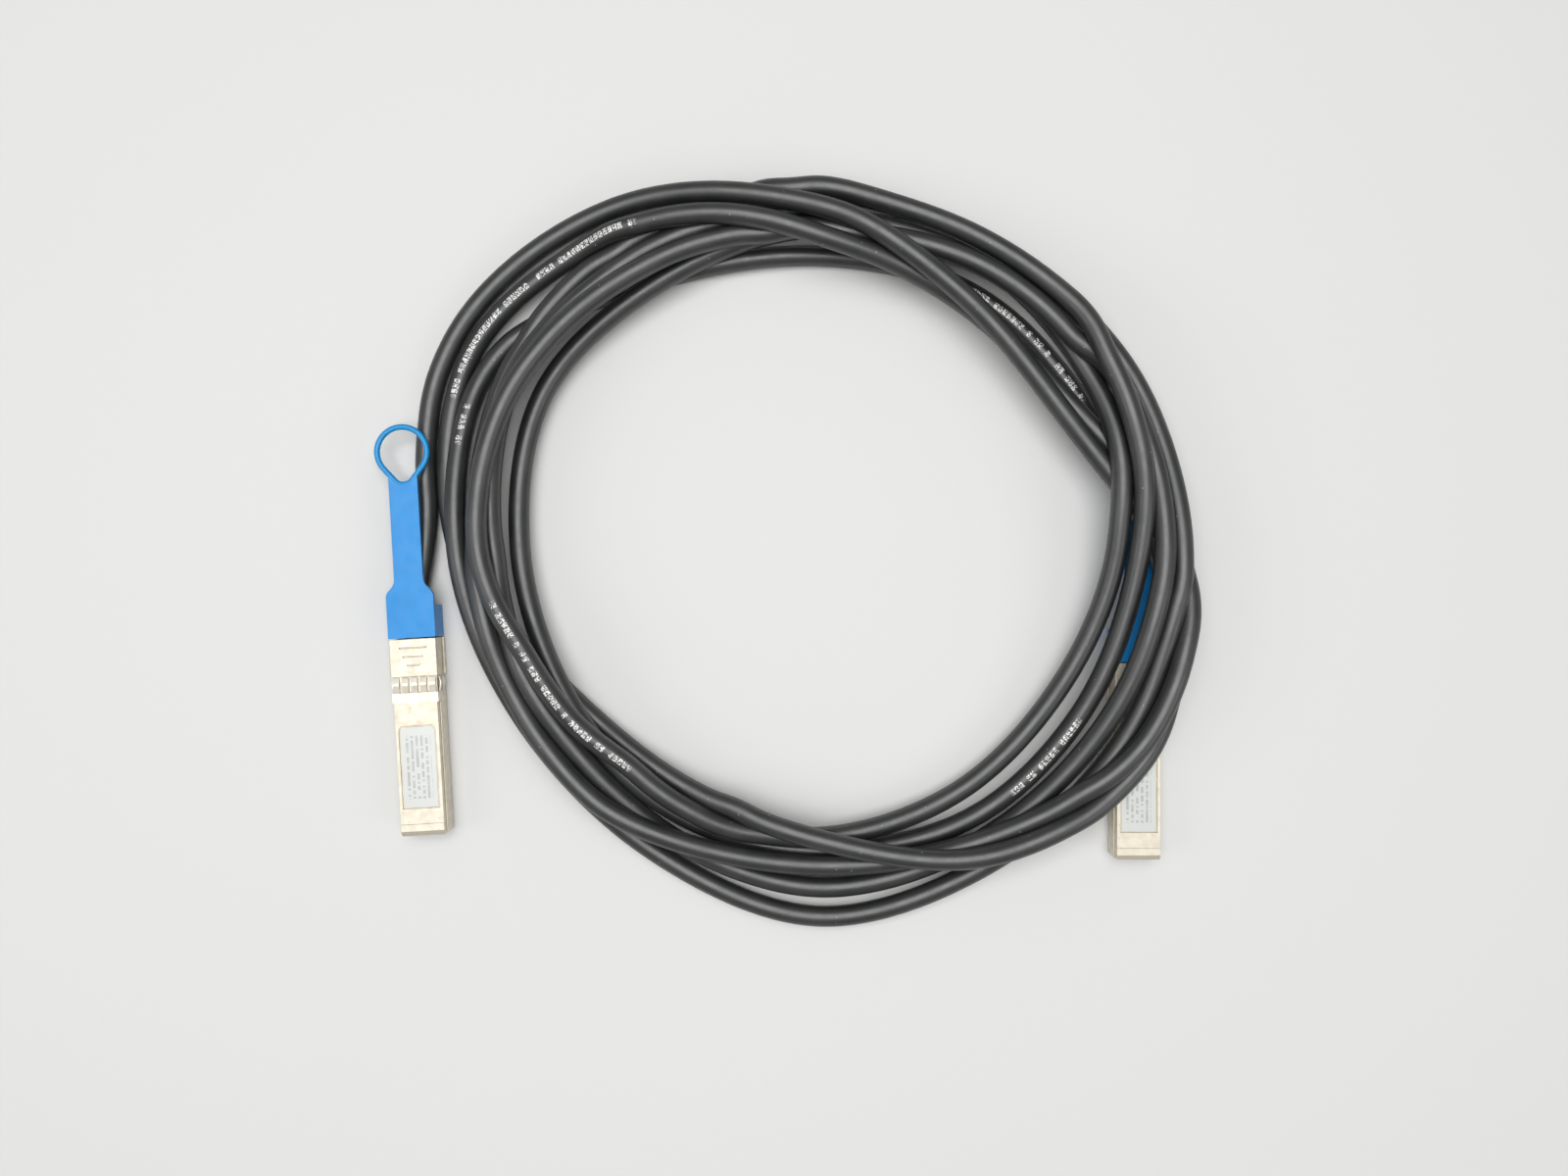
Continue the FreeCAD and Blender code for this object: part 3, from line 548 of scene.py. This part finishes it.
@dataclass(frozen=True)
class Casting:
    """Satin nickel on a zinc casting, warm and pale, with tarnish specks and handling marks."""

    name: str = "satin_nickel_casting"
    bright: Colour = (0.70, 0.65, 0.54, 1.0)
    dull: Colour = (0.62, 0.565, 0.46, 1.0)
    tarnish: Colour = (0.36, 0.26, 0.15, 1.0)
    # painted shade: the dark colour that creases and joints are blended towards
    crease_shade: Colour = (0.10, 0.08, 0.06, 1.0)
    metal: float = 0.6
    roughness: tuple[float, float] = (0.40, 0.55)
    speck_scale: float = 2400.0
    speck_level: float = 0.60
    edge: float = 0.16 * MM

    def material(self) -> bpy.types.Material:
        """Clouds of dulling, specks where two noises agree, a fine cast grain, and painted shade in
        creases and joints.
        """
        tree = NodeTree(self.name)
        where = tree.place(Placing.SOLID)
        cloud = tree.between(tree.noise(where, 420.0, 4.0), 0.34, 0.7)
        speck = tree.math("MULTIPLY",
                          tree.between(tree.noise(where, self.speck_scale, 5.0, 0.7),
                                       self.speck_level - 0.05, self.speck_level + 0.02),
                          tree.between(tree.noise(where, 320.0, 2.0), 0.45, 0.6))
        colour = tree.blend(cloud, self.bright, self.dull)
        worn = tree.blend(tree.math("MULTIPLY", speck, 0.5, clamp=True), colour, self.tarnish)
        # painted shade: ambient occlusion darkens the colour in creases and joints
        tree.join(tree.paint_crease_shade(worn, self.crease_shade, 0.5 * MM), tree.shader.inputs["Base Color"])
        tree.shader.inputs["Metallic"].default_value = self.metal
        tree.join(tree.between(cloud, 0.0, 1.0, *self.roughness), tree.shader.inputs["Roughness"])
        tree.relief(tree.noise(where, 4200.0, 2.0), 0.010 * MM, self.edge)
        return tree.material


@dataclass(frozen=True)
class StampedSteel:
    """Plated spring steel: smooth, brighter than the casting, with a faint rolling grain."""

    name: str = "stamped_spring_steel"
    colour: Colour = (0.76, 0.72, 0.62, 1.0)
    shade: Colour = (0.64, 0.59, 0.49, 1.0)
    # painted shade: the dark colour that creases and joints are blended towards
    crease_shade: Colour = (0.09, 0.075, 0.06, 1.0)
    metal: float = 0.8
    roughness: tuple[float, float] = (0.38, 0.50)
    edge: float = 0.06 * MM

    def material(self) -> bpy.types.Material:
        """A soft cloud between two tones, with a low relief, and painted shade in creases and
        joints.
        """
        tree = NodeTree(self.name)
        where = tree.place(Placing.SOLID)
        cloud = tree.between(tree.noise(where, 500.0, 3.0), 0.35, 0.65)
        plate = tree.blend(cloud, self.colour, self.shade)
        # painted shade: ambient occlusion darkens the colour in creases and joints
        tree.join(tree.paint_crease_shade(plate, self.crease_shade, 0.4 * MM), tree.shader.inputs["Base Color"])
        tree.shader.inputs["Metallic"].default_value = self.metal
        tree.join(tree.between(cloud, 0.0, 1.0, *self.roughness), tree.shader.inputs["Roughness"])
        tree.relief(tree.noise(where, 3000.0, 2.0), 0.004 * MM, self.edge)
        return tree.material


@dataclass(frozen=True)
class BlueMoulding:
    """Flexible blue moulding: satin on the base and strap, glossier on the ring, whose lighter blue
    is partly a painted highlight.
    """

    name: str
    ring_at: tuple[float, float]
    colour: Colour = (0.0, 0.225, 0.60, 1.0)
    # partly the ring's own bluer-green tint, partly a painted highlight of its glossy round section
    ring_tint_and_highlight: Colour = (0.0, 0.25, 0.56, 1.0)
    ring_reach: float = 13.0 * MM
    # How much lighter the mottling is than the colour, in red, green and blue
    mottling: tuple[float, float, float] = (1.2, 1.12, 1.1)

    def material(self) -> bpy.types.Material:
        """Blends two blues by distance from the ring's centre, the ring's partly a painted
        highlight, with faint handling marks.
        """
        tree = NodeTree(self.name)
        where = tree.place(Placing.SOLID, at=(self.ring_at[0], self.ring_at[1], 0.0))
        length = tree.add("ShaderNodeVectorMath", operation="LENGTH")
        tree.join(where, length.inputs[0])
        near = tree.between(length.outputs["Value"], self.ring_reach - 2 * MM,
                            self.ring_reach + 1 * MM, 1.0, 0.0)
        mottled = tree.between(tree.noise(where, 120.0, 4.0), 0.3, 0.7)
        lighter = tuple(c * gain for c, gain in zip(self.colour, self.mottling)) + (1.0,)
        base = tree.blend(mottled, self.colour, lighter)
        # near the ring the blue turns lighter: partly its own tint, partly a painted highlight
        tree.join(tree.blend(near, base, self.ring_tint_and_highlight), tree.shader.inputs["Base Color"])
        smears = tree.between(tree.noise(where, 300.0, 4.0, 0.7), 0.35, 0.7, 0.34, 0.5)
        tree.join(tree.math("SUBTRACT", smears, tree.math("MULTIPLY", near, 0.16)),
                  tree.shader.inputs["Roughness"])
        tree.relief(tree.noise(where, 2500.0, 2.0), 0.006 * MM, 0.3 * MM)
        return tree.material


@dataclass(frozen=True)
class LabelFilm:
    """Pale silvery sticker with five faint columns of plain grey bars along it."""

    name: str
    centre: tuple[float, float]
    turn: float
    film: Colour = (0.56, 0.575, 0.55, 1.0)
    ink: Colour = (0.30, 0.31, 0.31, 1.0)
    column_pitch: float = 1.45 * MM
    bar_pitch: float = 0.62 * MM
    # The share of a column that is bar, the share of bars left out, and the columns' seeds
    bar_share: float = 0.52
    left_out: float = 0.22
    seed_step: float = 7.3
    metal: float = 0.25
    roughness: float = 0.36
    half_width: float = 3.7 * MM
    half_length: float = 9.4 * MM

    def material(self) -> bpy.types.Material:
        """A bar is where the column's saw-tooth is under a half and the run's noise is high."""
        tree = NodeTree(self.name)
        where = tree.place(Placing.SOLID, self.turn, (self.centre[0], self.centre[1], 0.0))
        split = tree.add("ShaderNodeSeparateXYZ")
        tree.join(where, split.inputs[0])
        x, y = split.outputs[0], split.outputs[1]
        column = tree.math("DIVIDE", tree.math("ADD", x, self.half_width), self.column_pitch)
        stripe = tree.math("LESS_THAN", tree.math("FRACT", column), self.bar_share)
        seed = tree.add("ShaderNodeCombineXYZ")
        tree.join(tree.math("MULTIPLY", tree.math("FLOOR", column), self.seed_step),
                  seed.inputs[0])
        tree.join(tree.math("FLOOR", tree.math("DIVIDE", y, self.bar_pitch)), seed.inputs[1])
        random = tree.add("ShaderNodeTexWhiteNoise", noise_dimensions="2D")
        tree.join(seed.outputs[0], random.inputs["Vector"])
        dash = tree.math("GREATER_THAN", random.outputs["Value"], self.left_out)
        inside = tree.math("MULTIPLY",
                           tree.math("LESS_THAN", tree.math("ABSOLUTE", x), self.half_width),
                           tree.math("LESS_THAN", tree.math("ABSOLUTE", y), self.half_length))
        printed = tree.math("MULTIPLY", tree.math("MULTIPLY", stripe, dash), inside)
        faded = tree.math("MULTIPLY", printed,
                          tree.between(tree.noise(where, 400.0, 3.0), 0.3, 0.7, 0.35, 0.8))
        tree.join(tree.blend(faded, self.film, self.ink), tree.shader.inputs["Base Color"])
        tree.shader.inputs["Metallic"].default_value = self.metal
        tree.shader.inputs["Roughness"].default_value = self.roughness
        tree.relief(tree.noise(where, 900.0, 3.0), 0.006 * MM)
        return tree.material


@dataclass(frozen=True)
class JacketPvc:
    """Matt black PVC jacket with a soft sheen, pale dust and a worn white dotted legend."""

    name: str = "black_pvc_jacket"
    black: Colour = (0.011, 0.012, 0.012, 1.0)
    grey: Colour = (0.022, 0.023, 0.022, 1.0)
    dust: Colour = (0.45, 0.45, 0.43, 1.0)
    white: Colour = (0.78, 0.78, 0.76, 1.0)
    grains_per_metre: float = 450.0
    round: float = 19.48 * MM
    dot: float = 0.27 * MM
    letter: float = 1.62 * MM
    legend_half: float = 0.94 * MM
    # The shares of dots and of cells left out, and the share of a cell before its gap
    dots_out: float = 0.46
    cells_out: float = 0.16
    cell_fill: float = 0.8
    sheen: float = 0.95

    def legend_mask(self, tree: NodeTree, wrapped: bpy.types.NodeSocket) -> bpy.types.NodeSocket:
        """Dots of no alphabet: random squares in cells, with a gap after every cell."""
        split = tree.add("ShaderNodeSeparateXYZ")
        tree.join(wrapped, split.inputs[0])
        along = split.outputs[0]
        across = tree.math("MULTIPLY", tree.math("SUBTRACT", split.outputs[1], 0.25), self.round)
        cell = tree.add("ShaderNodeCombineXYZ")
        tree.join(tree.math("FLOOR", tree.math("DIVIDE", along, self.dot)), cell.inputs[0])
        tree.join(tree.math("FLOOR", tree.math("DIVIDE", across, self.dot)), cell.inputs[1])
        random = tree.add("ShaderNodeTexWhiteNoise", noise_dimensions="2D")
        tree.join(cell.outputs[0], random.inputs["Vector"])
        dots = tree.math("GREATER_THAN", random.outputs["Value"], self.dots_out)
        gap = tree.math("LESS_THAN", tree.math("FRACT", tree.math("DIVIDE", along, self.letter)),
                        self.cell_fill)
        word = tree.add("ShaderNodeTexWhiteNoise", noise_dimensions="1D")
        tree.join(tree.math("FLOOR", tree.math("DIVIDE", along, self.letter)), word.inputs["W"])
        words = tree.math("GREATER_THAN", word.outputs["Value"], self.cells_out)
        band = tree.math("LESS_THAN", tree.math("ABSOLUTE", across), self.legend_half)
        span = tree.add("ShaderNodeAttribute", attribute_name="legend")
        mask = tree.math("MULTIPLY", tree.math("MULTIPLY", dots, gap),
                         tree.math("MULTIPLY", band, words))
        return tree.math("MULTIPLY", mask, span.outputs["Fac"])

    def material(self) -> bpy.types.Material:
        """Two blacks clouded together, then dust specks, scuffs along the jacket, and the legend."""
        tree = NodeTree(self.name)
        where = tree.place(Placing.SOLID)
        wrapped = tree.place(Placing.WRAPPED)
        cloud = tree.between(tree.noise(where, 90.0, 4.0), 0.35, 0.65)
        grains = tree.add("ShaderNodeTexVoronoi")
        grains.inputs["Scale"].default_value = self.grains_per_metre
        tree.join(where, grains.inputs["Vector"])
        chance = tree.add("ShaderNodeSeparateColor")
        tree.join(grains.outputs["Color"], chance.inputs["Color"])
        specks = tree.math("MULTIPLY",
                           tree.between(grains.outputs["Distance"], 0.05, 0.08, 1.0, 0.0),
                           tree.math("GREATER_THAN", chance.outputs[0], 0.80))
        colour = tree.blend(cloud, self.black, self.grey)
        dusty = tree.blend(tree.math("MULTIPLY", specks, 0.8, clamp=True), colour, self.dust)
        legend = tree.math("MULTIPLY", self.legend_mask(tree, wrapped), 0.85)
        tree.join(tree.blend(legend, dusty, self.white), tree.shader.inputs["Base Color"])
        tree.join(tree.between(tree.noise(where, 220.0, 4.0, 0.7), 0.3, 0.7, 0.36, 0.46),
                  tree.shader.inputs["Roughness"])
        tree.shader.inputs["Specular IOR Level"].default_value = self.sheen
        tree.relief(tree.noise(where, 1100.0, 3.0), 0.012 * MM)
        return tree.material


@dataclass(frozen=True)
class PlainFinish:
    """A plain hidden piece: one tone, gently clouded."""

    name: str
    colour: Colour
    metal: float
    roughness: float
    darkening: float = 0.8

    def material(self) -> bpy.types.Material:
        """The tone, and a slightly darker one, clouded together."""
        tree = NodeTree(self.name)
        where = tree.place(Placing.SOLID)
        darker = tuple(self.darkening * c for c in self.colour[:3]) + (1.0,)
        cloud = tree.between(tree.noise(where, 700.0), 0.35, 0.65)
        tree.join(tree.blend(cloud, self.colour, darker), tree.shader.inputs["Base Color"])
        tree.shader.inputs["Metallic"].default_value = self.metal
        tree.shader.inputs["Roughness"].default_value = self.roughness
        return tree.material


# ------------------------------------------------------------------------------ connectors
class Side(Enum):
    """The two ends of the cable."""

    LEFT = "left"
    RIGHT = "right"


@dataclass
class Connector:
    """One connector's solids and their finishes.

    Attributes:
        side: which end of the cable it is on.
        turn: its turn about +Z, in radians.
    """

    side: Side
    turn: float
    ring_setback: float = 8.2 * MM

    def node(self, name: str) -> bpy.types.Object:
        """One of this connector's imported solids."""
        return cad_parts[f"{self.side.value}_{name}"]

    def middle(self, name: str) -> tuple[float, float]:
        """The middle of a node's box, in plan."""
        low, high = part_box(f"{self.side.value}_{name}")
        return ((low[0] + high[0]) / 2, (low[1] + high[1]) / 2)

    def ring_centre(self) -> tuple[float, float]:
        """Where the finger ring's wide end is centred: its radius in from the tab's far edge."""
        low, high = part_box(f"{self.side.value}_pull_tab")
        x = low[0] + self.ring_setback if self.side is Side.LEFT else (low[0] + high[0]) / 2
        return (x, high[1] - self.ring_setback)

    def dress(self, shared: dict[str, bpy.types.Material]) -> None:
        """Gives every solid of the connector its finish."""
        side = self.side.value
        blue = BlueMoulding(f"{side}_blue_moulding", self.ring_centre())
        film = LabelFilm(f"{side}_label_film", self.middle("label"), self.turn)
        own = {"pull_tab": blue.material(), "label": film.material()}
        for name in ("housing_base", "housing_cover", "shielding_collar", "latch_slider",
                     "return_spring", "pull_tab", "label", "contact_card", "contact_pads",
                     "memory_chip", "wire_pairs", "crimp_ferrule"):
            paint(self.node(name), own.get(name) or shared[name])
        tab_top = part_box(f"{side}_pull_tab")[1][2]
        RingBead(self.side, self.ring_centre(), self.turn, tab_top).build(own["pull_tab"])
        LOG.info("%s connector dressed", self.side.value)


@dataclass
class RingBead:
    """The round bead of the finger ring, which stands proud where it crosses the strap's end.

    Its centre line is an egg: a big arc and a small arc joined by straight tangents.
    """

    side: Side
    centre: tuple[float, float]
    turn: float
    top: float
    section: float = 1.74 * MM
    cad_section: float = 1.55 * MM
    big_radius: float = 7.425 * MM
    small_radius: float = 3.425 * MM
    spacing: float = 6.3 * MM
    steps: int = 96
    sides: int = 14

    def egg(self) -> tuple[np.ndarray, np.ndarray]:
        """Points and outward directions of the centre line, in the ring's own plane.

        The tangent points sit at the angle whose sine is (big - small) / spacing.
        """
        lean = math.asin((self.big_radius - self.small_radius) / self.spacing)
        big = np.linspace(-lean, math.pi + lean, self.steps)
        small = np.linspace(math.pi + lean, 2 * math.pi - lean, self.steps // 2)
        angle = np.concatenate([big, small])
        out = np.column_stack([np.cos(angle), np.sin(angle)])
        points = np.concatenate([self.big_radius * out[:len(big)],
                                 self.small_radius * out[len(big):] - [0.0, self.spacing]])
        return points, out

    def build(self, material: bpy.types.Material) -> None:
        """Sweeps a circle round the egg and hangs it on the release tab's body."""
        points, out = self.egg()
        around = np.linspace(0.0, 2 * np.pi, self.sides, endpoint=False)
        radius = self.section / 2
        plan = points[:, None, :] + radius * np.cos(around)[None, :, None] * out[:, None, :]
        level = self.top - self.cad_section / 2 + radius * np.sin(around)
        c, s = math.cos(self.turn), math.sin(self.turn)
        turned = plan @ np.array([[c, s], [-s, c]]) + np.asarray(self.centre)
        height = np.broadcast_to(level, plan.shape[:2])
        grid = np.concatenate([turned, height[..., None]], axis=2)
        rings, sides = grid.shape[:2]
        row, column = np.meshgrid(np.arange(rings), np.arange(sides), indexing="ij")
        next_row, after = (row + 1) % rings, (column + 1) % sides
        quads = np.stack([row * sides + column, row * sides + after,
                          next_row * sides + after, next_row * sides + column], axis=-1)
        mesh = bpy.data.meshes.new(f"{self.side.value}_ring_bead")
        mesh.from_pydata(grid.reshape(-1, 3).tolist(), [], quads.reshape(-1, 4).tolist())
        mesh.polygons.foreach_set("use_smooth", np.ones(len(mesh.polygons), bool))
        mesh.materials.append(material)
        bead = bpy.data.objects.new(f"{self.side.value}_ring_bead", mesh)
        bpy.context.scene.collection.objects.link(bead)
        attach(bead, f"{self.side.value}_release")


def paint(piece: bpy.types.Object, material: bpy.types.Material) -> None:
    """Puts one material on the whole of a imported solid."""
    if not piece.data.materials:
        piece.data.materials.append(material)
    for number in range(len(piece.data.materials)):
        piece.data.materials[number] = material


def shared_finishes() -> dict[str, bpy.types.Material]:
    """The finishes that both connectors take."""
    casting = Casting().material()
    steel = StampedSteel().material()
    plain = {
        "return_spring": PlainFinish("spring_wire", (0.55, 0.55, 0.54, 1.0), 0.9, 0.3),
        "contact_card": PlainFinish("green_solder_mask", (0.01, 0.12, 0.05, 1.0), 0.0, 0.35),
        "contact_pads": PlainFinish("gold_flash", (0.90, 0.62, 0.22, 1.0), 1.0, 0.25),
        "memory_chip": PlainFinish("chip_compound", (0.02, 0.02, 0.02, 1.0), 0.0, 0.5),
        "wire_pairs": PlainFinish("pair_wrap", (0.72, 0.72, 0.70, 1.0), 0.1, 0.4),
        "crimp_ferrule": PlainFinish("crimped_sleeve", (0.62, 0.60, 0.56, 1.0), 0.9, 0.35),
        "cover_screws": PlainFinish("screw_steel", (0.45, 0.44, 0.42, 1.0), 0.9, 0.35),
    }
    return {
        "housing_base": casting,
        "housing_cover": casting,
        "shielding_collar": steel,
        "latch_slider": steel,
        **{node: finish.material() for node, finish in plain.items()},
    }


# ------------------------------------------------------------------------------ studio
@dataclass
class Studio:
    """A plain pale floor that fades into the backdrop, and soft lamps.

    Attributes:
        fade: how far from the middle the floor starts and ends its fade, in metres.
    """

    floor_size: float = 4.0
    floor_drop: float = 0.2 * MM
    floor_colour: Colour = (0.66, 0.66, 0.65, 1.0)
    ambient: float = 0.28
    backdrop: float = 0.80
    fade: tuple[float, float] = (0.35, 1.4)

    def floor(self) -> None:
        """Adds the floor, just under the object."""
        half = self.floor_size / 2
        corners = [(x, y, -self.floor_drop) for x, y in ((-half, -half), (half, -half),
                                                         (half, half), (-half, half))]
        mesh = bpy.data.meshes.new("floor")
        mesh.from_pydata(corners, [], [(0, 1, 2, 3)])
        slab = bpy.data.objects.new("floor", mesh)
        bpy.context.scene.collection.objects.link(slab)
        tree = NodeTree("floor_paint")
        away = tree.add("ShaderNodeVectorMath", operation="LENGTH")
        tree.join(tree.place(Placing.SOLID), away.inputs[0])
        far = tree.between(away.outputs["Value"], *self.fade)
        black = (0.0, 0.0, 0.0, 1.0)
        tree.join(tree.blend(far, self.floor_colour, black), tree.shader.inputs["Base Color"])
        tree.shader.inputs["Emission Color"].default_value = (1.0, 1.0, 1.0, 1.0)
        tree.join(tree.math("MULTIPLY", far, self.backdrop), tree.shader.inputs["Emission Strength"])
        tree.shader.inputs["Roughness"].default_value = 0.7
        mesh.materials.append(tree.material)

    def lamp(self, name: str, place: tuple[float, float, float], size: float,
             power: float) -> None:
        """Adds one square lamp that faces the middle of the object."""
        data = bpy.data.lights.new(name, "AREA")
        data.shape = "SQUARE"
        data.size = size
        data.energy = power
        lamp = bpy.data.objects.new(name, data)
        lamp.location = place
        aim = -np.asarray(place, float)
        lamp.rotation_euler = (math.atan2(math.hypot(aim[0], aim[1]), -aim[2]), 0.0,
                               math.atan2(aim[1], aim[0]) - math.pi / 2)
        bpy.context.scene.collection.objects.link(lamp)

    def build(self) -> None:
        """Adds the floor, the lamps and the world, at a plain level."""
        self.floor()
        self.lamp("top_lamp", (-0.05, 0.12, 1.15), 0.95, 13.0)
        self.lamp("side_lamp", (1.1, -0.5, 0.9), 0.7, 3.0)
        self.lamp("far_lamp", (-1.1, -0.2, 0.8), 0.6, 2.5)
        world = bpy.data.worlds.new("studio")
        world.use_nodes = True
        nodes, links = world.node_tree.nodes, world.node_tree.links
        shade = nodes["Background"]
        shade.inputs["Color"].default_value = (1.0, 1.0, 1.0, 1.0)
        rays = nodes.new("ShaderNodeLightPath")
        level = nodes.new("ShaderNodeMapRange")
        level.inputs["To Min"].default_value = self.ambient
        level.inputs["To Max"].default_value = self.backdrop
        links.new(rays.outputs["Is Camera Ray"], level.inputs["Value"])
        links.new(level.outputs["Result"], shade.inputs["Strength"])
        bpy.context.scene.world = world
        bpy.context.scene.view_settings.view_transform = "Standard"


def main() -> None:
    """Builds the whole scene."""
    logging.basicConfig(level=logging.INFO, format="%(name)s: %(message)s")
    Viewpoint().build()
    JacketedCable().build()
    finishes = shared_finishes()
    Connector(Side.LEFT, math.radians(3.3)).dress(finishes)
    Connector(Side.RIGHT, 0.0).dress(finishes)
    paint(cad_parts["cover_screws"], finishes["cover_screws"])
    Studio().build()


if __name__ == "__main__":
    main()
